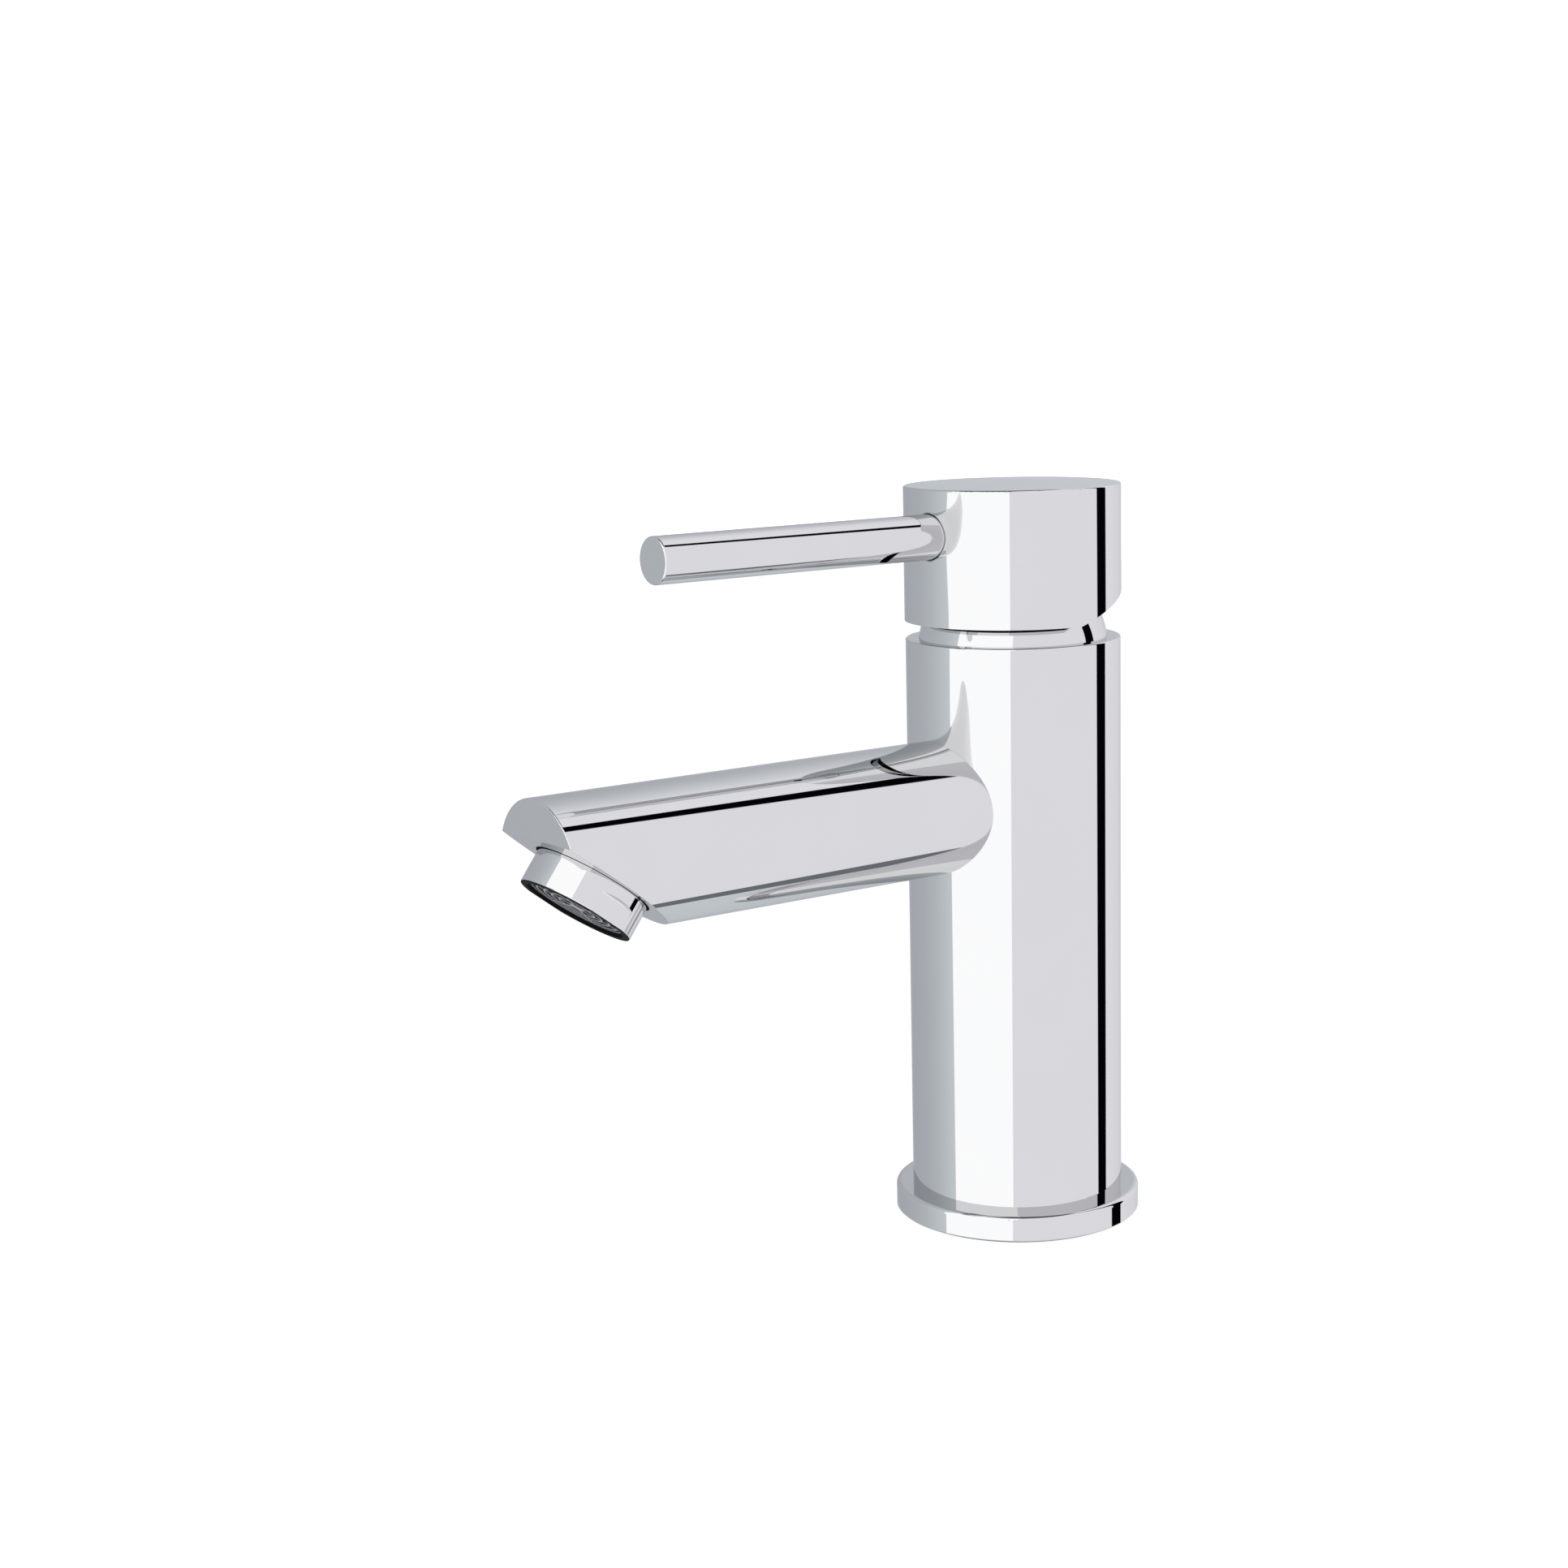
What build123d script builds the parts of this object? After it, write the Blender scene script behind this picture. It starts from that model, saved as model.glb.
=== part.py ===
from build123d import *
import os
from math import cos, radians, sin, sqrt, tan

# Single-lever basin mixer, in millimetres. The origin is the centre of the tap's foot, on the basin.
# +Z is up, and the spout and the lever rod point to -Y. Everything below follows from these sizes.

# What is seen from outside
column_d = 45.0  # turned column
column_top = 124.4
ring_d = 52.25  # base ring round the column's foot
ring_top_z = 5.8  # flat top of the ring
ring_rounding = 0.95
column_foot_r = 22.1  # the column's foot is a little narrower and stands in the ring
cap_d = 45.3  # handle cap
cap_bottom = 128.2
cap_top = 156.3
cap_cut_deg = 18.5  # the cap's underside rises to the back, so that it can tip back
cap_cut_y = -1.0  # where that rise starts
dome_r = 19.95  # ball-shaped cover in the gap between column and cap
dome_z = 121.5  # centre of that ball
lever_d = 9.4
lever_z = 146.6
lever_end = 89.5  # from the column's axis to the tip of the lever rod
spout_d = 27.9
spout_z = 90.45
spout_end = 117.1  # from the column's axis to the spout's end face, on its axis
end_lean_deg = 2.5  # the end face leans out a little at the top
cut_deg = 36.8  # slope of the slanted cut under the spout's tip
cut_top_z = 96.45  # where that cut meets the end face
aerator_d = 23.5
aerator_drop = 7.0  # how far the aerator stands out of the cut
aerator_in = 15.15  # from the cut's top edge down the slope to the aerator's axis

# Movement
pivot_z = 127.5  # the spindle's pivot pin, across the column's axis
lift_deg = 23.0  # lever down is shut, lever up is full flow
foot_drop = 12.0  # from the pivot down to the spindle's foot, which pushes the disc
block_y, block_z = 8.4, 11.5  # the spindle's block at the pivot
pin_r = 1.5

# Waterways and connections in the column
inlet_x, inlet_y = 9.4, -1.0  # hot and cold come up on either side
outlet_y = 7.0  # mixed water goes down behind, then forward to the spout
hose_thread_r, hose_thread_depth = 4.46, 12.0  # M10 x 1, at its root
stud_thread_r, stud_thread_depth = 3.32, 14.0  # M8, at its root
stud_y = -9.0
seat_z = 101.5  # floor of the cartridge's bore

# Cartridge, a 35 mm ceramic-disc one
cartridge_r = 17.4
base_top = 106.0
fixed_disc_z = 106.2
moving_disc_z = 109.42
carrier_z = 112.42
port_x, port_y = 6.8, -2.0  # the disc's two inlets
shoulder_z = 121.0
running = 0.06  # radial clearance of the pieces that turn in each other

column_r, ring_r, cap_r = column_d / 2, ring_d / 2, cap_d / 2
spout_r, lever_r, aerator_r = spout_d / 2, lever_d / 2, aerator_d / 2
cut_slope = radians(cut_deg)
foot_z = pivot_z - foot_drop
foot_r = 2.6

# Planes: along the spout, along the lever rod, and across the slanted cut with +Z out of the aerator
spout_plane = Plane(origin=(0, 0, spout_z), x_dir=(1, 0, 0), z_dir=(0, -1, 0))
lever_plane = Plane(origin=(0, 0, lever_z), x_dir=(1, 0, 0), z_dir=(0, -1, 0))
cut_top_y = -spout_end - (cut_top_z - spout_z) * tan(radians(end_lean_deg))
aerator_plane = Plane(
    origin=(
        0,
        cut_top_y + aerator_in * cos(cut_slope),
        cut_top_z - aerator_in * sin(cut_slope),
    ),
    x_dir=(1, 0, 0),
    z_dir=(0, -sin(cut_slope), -cos(cut_slope)),
)
inlets = [(inlet_x, inlet_y), (-inlet_x, inlet_y)]
disc_inlets = [(port_x, port_y), (-port_x, port_y)]


# ---------------------------------------------------------------- foot

seal_r_in, seal_r_out, seal_h = 22.8, 25.0, 1.8
groove_gap = 0.15
ring_foot = 0.4  # the seal holds the ring this far off the basin
ring_lip_r, ring_lip_z = 18.5, 2.2  # inner lip that the column stands on


def make_base_seal():
    """Flat rubber ring in the groove under the base ring."""
    with BuildPart() as seal:
        with BuildSketch(Plane.XY):
            Circle(seal_r_out)
            Circle(seal_r_in, mode=Mode.SUBTRACT)
        extrude(amount=seal_h)
    seal.part.label = "base_seal"
    return seal.part


def make_base_ring():
    """Ring round the foot, with a lip for the column and a groove for the seal."""
    bore_r = column_foot_r + 0.05
    bevel = 0.3
    with BuildPart() as ring:
        with BuildSketch(Plane.XZ):
            with BuildLine():
                Polyline(
                    (ring_lip_r, ring_foot),
                    (seal_r_in - groove_gap, ring_foot),
                    (seal_r_in - groove_gap, seal_h),
                    (seal_r_out + groove_gap, seal_h),
                    (seal_r_out + groove_gap, ring_foot),
                    (ring_r - bevel, ring_foot),
                    (ring_r, ring_foot + bevel),
                    (ring_r, ring_top_z),
                    (bore_r, ring_top_z),
                    (bore_r, ring_lip_z),
                    (ring_lip_r, ring_lip_z),
                    close=True,
                )
            make_face()
        revolve(axis=Axis.Z)
        top = ring.edges().filter_by(GeomType.CIRCLE).group_by(Axis.Z)[-1]
        fillet(top.sort_by(SortBy.RADIUS)[-1], radius=ring_rounding)
    ring.part.label = "base_ring"
    return ring.part


# ---------------------------------------------------------------- column and spout

recess_r, recess_top = 17.0, 38.0  # hollow underside, for the hoses' ends and the stud
inlet_r = 3.2
outlet_down_r, outlet_across_r = 3.6, 4.5
socket_r, socket_y = 8.5, 12.0  # bore that takes the spout's spigot
cartridge_bore_r = cartridge_r + 0.2
nut_thread_r, nut_thread_z = 19.2, 117.2
peg_r, peg_depth = 1.5, 2.0
pegs = [(11.5, -9.5), (-11.5, -9.5)]


def make_column():
    """Turned brass column: hollow foot, two inlets, cartridge bore and the way to the spout."""
    with BuildPart() as column:
        with BuildSketch(Plane.XY.offset(ring_top_z)):
            Circle(column_r)
        extrude(amount=column_top - ring_top_z)
        fillet(column.edges().filter_by(GeomType.CIRCLE).sort_by(Axis.Z)[-1], radius=0.35)
        with BuildSketch(Plane.XY.offset(ring_lip_z)):
            Circle(column_foot_r)
        extrude(amount=ring_top_z - ring_lip_z)
        with BuildSketch(Plane.XY.offset(ring_lip_z)):
            Circle(recess_r)
        extrude(amount=recess_top - ring_lip_z, mode=Mode.SUBTRACT)
        with BuildSketch(Plane.XY.offset(seat_z)):
            Circle(cartridge_bore_r)
        extrude(amount=column_top - seat_z, mode=Mode.SUBTRACT)
        with BuildSketch(Plane.XY.offset(nut_thread_z)):
            Circle(nut_thread_r)
        extrude(amount=column_top - nut_thread_z, mode=Mode.SUBTRACT)
        # hose threads, and the inlets that rise from them to the cartridge
        with BuildSketch(Plane.XY.offset(recess_top)):
            with Locations(*inlets):
                Circle(hose_thread_r)
        extrude(amount=hose_thread_depth, mode=Mode.SUBTRACT)
        with BuildSketch(Plane.XY.offset(recess_top)):
            with Locations(*inlets):
                Circle(inlet_r)
        extrude(amount=seat_z - recess_top, mode=Mode.SUBTRACT)
        with BuildSketch(Plane.XY.offset(recess_top)):
            with Locations((0, stud_y)):
                Circle(stud_thread_r)
        extrude(amount=stud_thread_depth, mode=Mode.SUBTRACT)
        # outlet: down behind the inlets, forward between them, and into the spout's socket
        with BuildSketch(Plane.XY.offset(spout_z)):
            with Locations((0, outlet_y)):
                Circle(outlet_down_r)
        extrude(amount=seat_z - spout_z, mode=Mode.SUBTRACT)
        with BuildSketch(spout_plane.offset(-outlet_y)):
            Circle(outlet_across_r)
        extrude(amount=outlet_y + socket_y + 1, mode=Mode.SUBTRACT)
        with BuildSketch(spout_plane.offset(socket_y)):
            Circle(socket_r)
        extrude(amount=column_r, mode=Mode.SUBTRACT)
        # blind holes for the cartridge's two pegs
        with BuildSketch(Plane.XY.offset(seat_z)):
            with Locations(*pegs):
                Circle(peg_r + 0.1)
        extrude(amount=-peg_depth - 0.3, mode=Mode.SUBTRACT)  # a little deeper than the pegs
    column.part.label = "column"
    return column.part


spout_bore_r, spout_bore_end = 9.5, 97.0
spigot_wall = 2.0
saddle_wall = 4.5  # solid metal between the column and the wide part of the spout's bore
throat_r, throat_depth = 8.6, 12.0  # the way from the spout's bore down to the aerator
aerator_thread_r = 11.46  # M24 x 1, at its root
counterbore_r, counterbore_depth = 12.25, 0.8
chamber_depth = 9.0


def make_spout():
    """Round spout, saddled to the column, with a slanted cut under its tip for the aerator."""
    with BuildPart() as spout:
        with BuildSketch(spout_plane.offset(socket_y)):
            Circle(spout_r)
        extrude(amount=spout_end + spout_r - socket_y)
        # leaning end face, then the slanted cut, each by taking off what lies beyond the plane
        with BuildSketch(Plane.YZ.offset(-spout_d)):
            lean = tan(radians(end_lean_deg)) * spout_d
            with BuildLine():
                Polyline(
                    (-spout_end - lean, spout_z + spout_d),
                    (-spout_end + lean, spout_z - spout_d),
                    (-spout_end - spout_d, spout_z - spout_d),
                    (-spout_end - spout_d, spout_z + spout_d),
                    close=True,
                )
            make_face()
        extrude(amount=2 * spout_d, mode=Mode.SUBTRACT)
        with BuildSketch(aerator_plane):
            Rectangle(4 * spout_d, 4 * spout_d)
        extrude(amount=2 * spout_d, mode=Mode.SUBTRACT)
        # fine rounding of the sharp edges at the tip
        tip = spout.edges().filter_by_position(Axis.Y, -spout_end - spout_r, -spout_end + spout_d)
        fillet(tip.filter_by(GeomType.LINE, reverse=True), radius=0.25)
        # saddle on the column's wall, and the spigot that is brazed into it
        with BuildSketch(Plane.XY.offset(spout_z - spout_d)):
            Circle(column_r + 0.02)
        extrude(amount=2 * spout_d, mode=Mode.SUBTRACT)
        with BuildSketch(spout_plane.offset(socket_y)):
            Circle(socket_r - 0.02)
        extrude(amount=column_r - socket_y + saddle_wall)
        # waterway
        with BuildSketch(spout_plane.offset(socket_y)):
            Circle(socket_r - spigot_wall)
        extrude(amount=spout_bore_end - socket_y, mode=Mode.SUBTRACT)
        with BuildSketch(spout_plane.offset(column_r + saddle_wall)):
            Circle(spout_bore_r)
        extrude(amount=spout_bore_end - column_r - saddle_wall, mode=Mode.SUBTRACT)
        # aerator's counterbore and thread, and the chamber behind it
        with BuildSketch(aerator_plane):
            Circle(counterbore_r)
        extrude(amount=-counterbore_depth, mode=Mode.SUBTRACT)
        with BuildSketch(aerator_plane):
            Circle(aerator_thread_r)
        extrude(amount=-chamber_depth, mode=Mode.SUBTRACT)
        with BuildSketch(aerator_plane):
            Circle(throat_r)
        extrude(amount=-throat_depth, mode=Mode.SUBTRACT)
    spout.part.label = "spout"
    return spout.part


# ---------------------------------------------------------------- aerator

# Depths below are along the aerator's axis, from the cut plane and positive out of the spout.
flat_half, flat_from = 11.0, 2.9  # two 22 mm spanner flats, and where they are full depth
flat_runout = 0.8  # the cutter's slope above each flat
insert_r = 10.4  # bore that holds the aerator's insides
insert_gap = 0.1
lip_r, lip_from, lip_to = 10.0, 5.6, 6.3  # lip that stops the insides from falling out
mouth_r = 10.7  # counterbore in front of the lip
sleeve_flange_h = 0.15  # the black sleeve covers the collar's end


def make_aerator_housing():
    """Collar with a threaded neck, two spanner flats and a lip inside its mouth."""
    with BuildPart() as housing:
        with BuildSketch(aerator_plane.offset(-counterbore_depth)):
            Circle(aerator_r)
        extrude(amount=aerator_drop - sleeve_flange_h + counterbore_depth)
        chamfer(
            housing.edges().filter_by(GeomType.CIRCLE).sort_by(Axis.Z)[0], length=0.1
        )
        # spanner flats, each ending in the slope that the cutter leaves
        side = Plane(
            origin=aerator_plane.origin,
            x_dir=aerator_plane.x_dir,
            z_dir=-aerator_plane.y_dir,
        )
        reach = 2.0  # past the collar's own wall
        with BuildSketch(side.offset(-aerator_r)):
            with BuildLine():
                Polyline(
                    (flat_half, flat_from),
                    (flat_half, aerator_drop + reach),
                    (flat_half + reach, aerator_drop + reach),
                    (flat_half + reach, flat_from - reach * flat_runout),
                    close=True,
                )
            make_face()
            mirror(about=Plane.YZ)
        extrude(amount=aerator_d, mode=Mode.SUBTRACT)
        with BuildSketch(aerator_plane.offset(-chamber_depth + washer_h)):
            Circle(aerator_thread_r - 0.06)
        extrude(amount=chamber_depth - washer_h - counterbore_depth)
        with BuildSketch(aerator_plane.offset(-chamber_depth + washer_h)):
            Circle(insert_r)
        extrude(amount=chamber_depth - washer_h + lip_from, mode=Mode.SUBTRACT)
        with BuildSketch(aerator_plane.offset(lip_from)):
            Circle(lip_r)
        extrude(amount=lip_to - lip_from, mode=Mode.SUBTRACT)
        with BuildSketch(aerator_plane.offset(lip_to)):
            Circle(mouth_r)
        extrude(amount=aerator_drop - lip_to, mode=Mode.SUBTRACT)
    housing.part.label = "aerator_housing"
    return housing.part


washer_r_in, washer_h = 8.8, 1.0


def make_aerator_washer():
    """Rubber washer between the aerator's neck and the end of its chamber."""
    with BuildPart() as washer:
        with BuildSketch(aerator_plane.offset(-chamber_depth)):
            Circle(aerator_thread_r - 0.2)
            Circle(washer_r_in, mode=Mode.SUBTRACT)
        extrude(amount=washer_h)
    washer.part.label = "aerator_washer"
    return washer.part


sieve_at, sieve_h, sieve_floor, sieve_hole_r = -7.6, 2.6, 0.8, 0.8
jets_at, jets_h, jet_hole_r = -5.0, 2.6, 0.6
screens_at, screen_h = (0.2, 2.0), 0.5
grid_at, grid_flange_h = 3.6, 1.9
sieve_holes = ((7.4, 16), (4.6, 10))  # each ring's radius and its number of holes
jet_holes = ((7.8, 18), (5.2, 10))


def make_aerator_sieve():
    """Shallow plastic cup with a perforated floor that keeps grit out of the jets."""
    with BuildPart() as sieve:
        with BuildSketch(aerator_plane.offset(sieve_at)):
            Circle(insert_r - insert_gap)
        extrude(amount=sieve_h)
        with BuildSketch(aerator_plane.offset(sieve_at + sieve_floor)):
            Circle(insert_r - insert_gap - 1)
        extrude(amount=sieve_h - sieve_floor, mode=Mode.SUBTRACT)
        with BuildSketch(aerator_plane.offset(sieve_at)):
            for ring_r_at, count in sieve_holes:
                with PolarLocations(ring_r_at, count):
                    Circle(sieve_hole_r)
        extrude(amount=sieve_floor, mode=Mode.SUBTRACT)
    sieve.part.label = "aerator_sieve"
    return sieve.part


def make_aerator_jet_plate():
    """Plate whose ring of small holes turns the flow into jets that draw in air."""
    with BuildPart() as plate:
        with BuildSketch(aerator_plane.offset(jets_at)):
            Circle(insert_r - insert_gap)
            for ring_r_at, count in jet_holes:
                with PolarLocations(ring_r_at, count):
                    Circle(jet_hole_r, mode=Mode.SUBTRACT)
        extrude(amount=jets_h)
    plate.part.label = "aerator_jet_plate"
    return plate.part


def make_aerator_screens():
    """Two fine steel screens, as thin discs."""
    with BuildPart() as screens:
        for depth in screens_at:
            with BuildSketch(aerator_plane.offset(depth)):
                Circle(insert_r - insert_gap)
            extrude(amount=screen_h)
    screens.part.label = "aerator_screens"
    return screens.part


grid_rings = (9.9, 8.8, 7.2, 5.6, 4.0)  # outer radii of the grid's rings
grid_wall = 0.4
grid_hub_r = 1.6


def make_aerator_grid():
    """Outlet grid that straightens the stream: rings joined by spokes, with a flange above."""
    with BuildPart() as grid:
        with BuildSketch(aerator_plane.offset(grid_at)):
            for r in grid_rings:
                Circle(r)
                Circle(r - grid_wall, mode=Mode.SUBTRACT)
            Circle(grid_hub_r)
            with PolarLocations((grid_hub_r + grid_rings[0] - grid_wall) / 2, 6):
                Rectangle(grid_rings[0] - grid_hub_r, grid_wall)
        extrude(amount=lip_to - grid_at)
        with BuildSketch(aerator_plane.offset(grid_at)):
            Circle(insert_r - insert_gap)
            Circle(grid_rings[0] - grid_wall, mode=Mode.SUBTRACT)
        extrude(amount=grid_flange_h)
    grid.part.label = "aerator_grid"
    return grid.part


sleeve_in_r = 10.35
sleeve_inset = 0.1  # the flange is this much smaller than the collar all round


def make_aerator_sleeve():
    """Black plastic sleeve pressed into the mouth, with a thin flange over the collar's end."""
    with BuildPart() as sleeve:
        with BuildSketch(aerator_plane.offset(lip_to)):
            Circle(mouth_r - 0.02)
        extrude(amount=aerator_drop - lip_to)
        with BuildSketch(aerator_plane.offset(aerator_drop - sleeve_flange_h)):
            Circle(aerator_r - sleeve_inset)
            Rectangle(2 * (flat_half - sleeve_inset), aerator_d, mode=Mode.INTERSECT)
        extrude(amount=sleeve_flange_h)
        with BuildSketch(aerator_plane.offset(lip_to)):
            Circle(sleeve_in_r)
        extrude(amount=aerator_drop - lip_to, mode=Mode.SUBTRACT)
    sleeve.part.label = "aerator_sleeve"
    return sleeve.part


# ---------------------------------------------------------------- cartridge, fixed pieces

seal_pocket = 1.2
port_seal_r, disc_seal_r = 4.8, 3.9
disc_rim_r = 13.8  # the base's rim holds the fixed disc
base_rim_r, base_rim_h = 16.1, 2.4
base_lift = 0.2  # the seals hold the base this far off its seat
port_hole_r, disc_hole_r = 2.6, 2.5
base_ports = inlets + [(0, outlet_y)]
disc_ports = disc_inlets + [(0, outlet_y)]


def make_port_seals():
    """Three rubber rings between the column's seat and the cartridge."""
    with BuildPart() as seals:
        with BuildSketch(Plane.XY.offset(seat_z)):
            with Locations(*base_ports):
                Circle(port_seal_r)
                Circle(port_seal_r - 1.5, mode=Mode.SUBTRACT)
        extrude(amount=base_lift + seal_pocket)
    seals.part.label = "port_seals"
    return seals.part


def make_cartridge_base():
    """Plastic base: seal pockets below and above, a rim for the fixed disc, two locating pegs."""
    bottom = seat_z + base_lift
    with BuildPart() as base:
        with BuildSketch(Plane.XY.offset(bottom)):
            Circle(cartridge_r - 0.1)
        extrude(amount=base_top - bottom)
        with BuildSketch(Plane.XY.offset(base_top)):
            Circle(base_rim_r)
            Circle(disc_rim_r, mode=Mode.SUBTRACT)
        extrude(amount=base_rim_h)
        with BuildSketch(Plane.XY.offset(seat_z - peg_depth)):
            with Locations(*pegs):
                Circle(peg_r)
        extrude(amount=peg_depth + base_lift)
        with BuildSketch(Plane.XY.offset(bottom)):
            with Locations(*base_ports):
                Circle(port_seal_r + 0.05)
        extrude(amount=seal_pocket, mode=Mode.SUBTRACT)
        with BuildSketch(Plane.XY.offset(base_top)):
            with Locations(*disc_ports):
                Circle(disc_seal_r + 0.05)
        extrude(amount=-seal_pocket, mode=Mode.SUBTRACT)
        with BuildSketch(Plane.XY.offset(bottom)):
            with Locations(*base_ports):
                Circle(port_hole_r)
            with Locations(*disc_ports):
                Circle(disc_hole_r)
        extrude(amount=base_top - bottom, mode=Mode.SUBTRACT)
    base.part.label = "cartridge_base"
    return base.part


def make_disc_seals():
    """Three rubber rings that press on the underside of the fixed disc."""
    with BuildPart() as seals:
        with BuildSketch(Plane.XY.offset(base_top - seal_pocket)):
            with Locations(*disc_ports):
                Circle(disc_seal_r)
                Circle(disc_seal_r - 1.1, mode=Mode.SUBTRACT)
        extrude(amount=fixed_disc_z - base_top + seal_pocket)
    seals.part.label = "disc_seals"
    return seals.part


fixed_disc_h = 3.2


def make_fixed_disc():
    """Polished ceramic disc with the two inlets and the outlet."""
    with BuildPart() as disc:
        with BuildSketch(Plane.XY.offset(fixed_disc_z)):
            Circle(disc_rim_r - 0.15)
            with Locations(*disc_ports):
                Circle(port_hole_r, mode=Mode.SUBTRACT)
        extrude(amount=fixed_disc_h)
    disc.part.label = "fixed_disc"
    return disc.part


neck_r = 12.6
shell_wall, shoulder_h = 1.2, 1.6
collar_r = 11.0
flange_r, flange_z = 16.0, 117.2
housing_top = 131.5


def make_cartridge_housing():
    """Plastic shell of the cartridge: barrel, shoulder for the nut, and neck."""
    barrel_in = cartridge_r - shell_wall
    with BuildPart() as housing:
        with BuildSketch(Plane.XZ):
            with BuildLine():
                Polyline(
                    (barrel_in, base_top + 0.1),
                    (cartridge_r, base_top + 0.1),
                    (cartridge_r, shoulder_z),
                    (neck_r, shoulder_z),
                    (neck_r, housing_top),
                    (collar_r + running, housing_top),
                    (collar_r + running, shoulder_z - shoulder_h),
                    (barrel_in, shoulder_z - shoulder_h),
                    close=True,
                )
            make_face()
        revolve(axis=Axis.Z)
    housing.part.label = "cartridge_housing"
    return housing.part


nut_round_top = 127.2
nut_top = 130.0
nut_grip_r = 16.2
nut_hex_half = 14.0  # a 28 mm hexagon
nut_clear = 0.2


def make_retaining_nut():
    """Brass ring nut, screwed into the column on top of the cartridge's shoulder."""
    with BuildPart() as nut:
        with BuildSketch(Plane.XZ):
            with BuildLine():
                Polyline(
                    (cartridge_r + 0.1, nut_thread_z + 0.4),
                    (nut_thread_r - 0.06, nut_thread_z + 0.4),
                    (nut_thread_r - 0.06, column_top - nut_clear),
                    (nut_grip_r, column_top - nut_clear),
                    (nut_grip_r, nut_round_top),
                    (neck_r + nut_clear, nut_round_top),
                    (neck_r + nut_clear, shoulder_z),
                    (cartridge_r + 0.1, shoulder_z),
                    close=True,
                )
            make_face()
        revolve(axis=Axis.Z)
        with BuildSketch(Plane.XY.offset(nut_round_top)):
            RegularPolygon(radius=nut_hex_half, side_count=6, major_radius=False)
            Circle(neck_r + nut_clear, mode=Mode.SUBTRACT)
        extrude(amount=nut_top - nut_round_top)
    nut.part.label = "retaining_nut"
    return nut.part


dome_wall = 1.5
dome_top = 138.0
dome_opening_r = 10.6
dome_ring_z, dome_ring_r, dome_ring_h = 125.4, 17.5, 1.4


def make_dome_ring():
    """Rubber ring on the nut that grips the dome cover from inside."""
    with BuildPart() as ring:
        with BuildSketch(Plane.XY.offset(dome_ring_z)):
            Circle(dome_ring_r)
            Circle(nut_grip_r, mode=Mode.SUBTRACT)
        extrude(amount=dome_ring_h)
    ring.part.label = "dome_ring"
    return ring.part


def make_dome_cover():
    """Thin ball-shaped cover over the nut, open at the top for the spindle."""
    inner_r = dome_r - dome_wall
    low, high = column_top - dome_z, dome_top - dome_z
    with BuildPart() as dome:
        with BuildSketch(Plane.XZ):
            with BuildLine():
                outer_low = (sqrt(dome_r**2 - low**2), column_top)
                outer_high = (sqrt(dome_r**2 - high**2), dome_top)
                inner_low = (sqrt(inner_r**2 - low**2), column_top)
                touch = sqrt(inner_r**2 - dome_opening_r**2)
                inner_high = (dome_opening_r, dome_z + touch)
                RadiusArc(outer_low, outer_high, -dome_r)
                Line(outer_high, (dome_opening_r, dome_top))
                Line((dome_opening_r, dome_top), inner_high)
                RadiusArc(inner_high, inner_low, inner_r)
                Line(inner_low, outer_low)
            make_face()
        revolve(axis=Axis.Z)
    dome.part.label = "dome_cover"
    return dome.part


# ---------------------------------------------------------------- cartridge, moving pieces

# slot through the collar, long enough for the spindle's block at full lift
lift = radians(lift_deg)
window_x = 4.4
window_y = block_y / 2 * cos(lift) + block_z / 2 * sin(lift) + 1.5
collar_top = housing_top + 1.0
flange_h = 2.0
guide_x, guide_w, guide_y = 13.0, 3.2, 11.0
collar_groove_z, collar_groove_r, collar_groove_h = 129.2, 9.9, 1.5


def make_swivel_collar():
    """Collar that turns in the cartridge's neck, carries the pivot pin and guides the disc."""
    with BuildPart() as collar:
        with BuildSketch(Plane.XY.offset(flange_z)):
            Circle(flange_r)
        extrude(amount=flange_h)
        with BuildSketch(Plane.XY.offset(flange_z)):
            Circle(collar_r)
        extrude(amount=collar_top - flange_z)
        # groove for its ring seal
        with BuildSketch(Plane.XY.offset(collar_groove_z)):
            Circle(collar_r)
            Circle(collar_groove_r, mode=Mode.SUBTRACT)
        extrude(amount=collar_groove_h, mode=Mode.SUBTRACT)
        # two guides that run down beside the disc's carrier
        with BuildSketch(Plane.XY.offset(carrier_z + 0.4)):
            with Locations((guide_x, 0), (-guide_x, 0)):
                Rectangle(guide_w, guide_y)
        extrude(amount=flange_z - carrier_z - 0.4)
        with BuildSketch(Plane.XY.offset(flange_z)):
            Rectangle(2 * window_x, 2 * window_y)
        extrude(amount=collar_top - flange_z, mode=Mode.SUBTRACT)
        with BuildSketch(Plane.YZ.offset(-collar_r)):
            with Locations((0, pivot_z)):
                Circle(pin_r + 0.02)
        extrude(amount=2 * collar_r, mode=Mode.SUBTRACT)
    collar.part.label = "swivel_collar"
    return collar.part


def make_collar_seal():
    """Ring seal in the collar's groove."""
    with BuildPart() as seal:
        with BuildSketch(Plane.XY.offset(collar_groove_z + 0.05)):
            Circle(collar_r + 0.02)
            Circle(collar_groove_r + 0.02, mode=Mode.SUBTRACT)
        extrude(amount=collar_groove_h - 0.1)
    seal.part.label = "collar_seal"
    return seal.part


def make_pivot_pin():
    """Steel pin across the collar, which the spindle tips on."""
    pin_half = collar_r - 0.6
    with BuildPart() as pin:
        with BuildSketch(Plane.YZ.offset(-pin_half)):
            with Locations((0, pivot_z)):
                Circle(pin_r)
        extrude(amount=2 * pin_half)
        chamfer(pin.edges().filter_by(GeomType.CIRCLE), length=0.25)
    pin.part.label = "pivot_pin"
    return pin.part


moving_disc_r = 11.2
pocket_r, pocket_depth, pocket_land = 9.9, 1.8, 0.6


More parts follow.
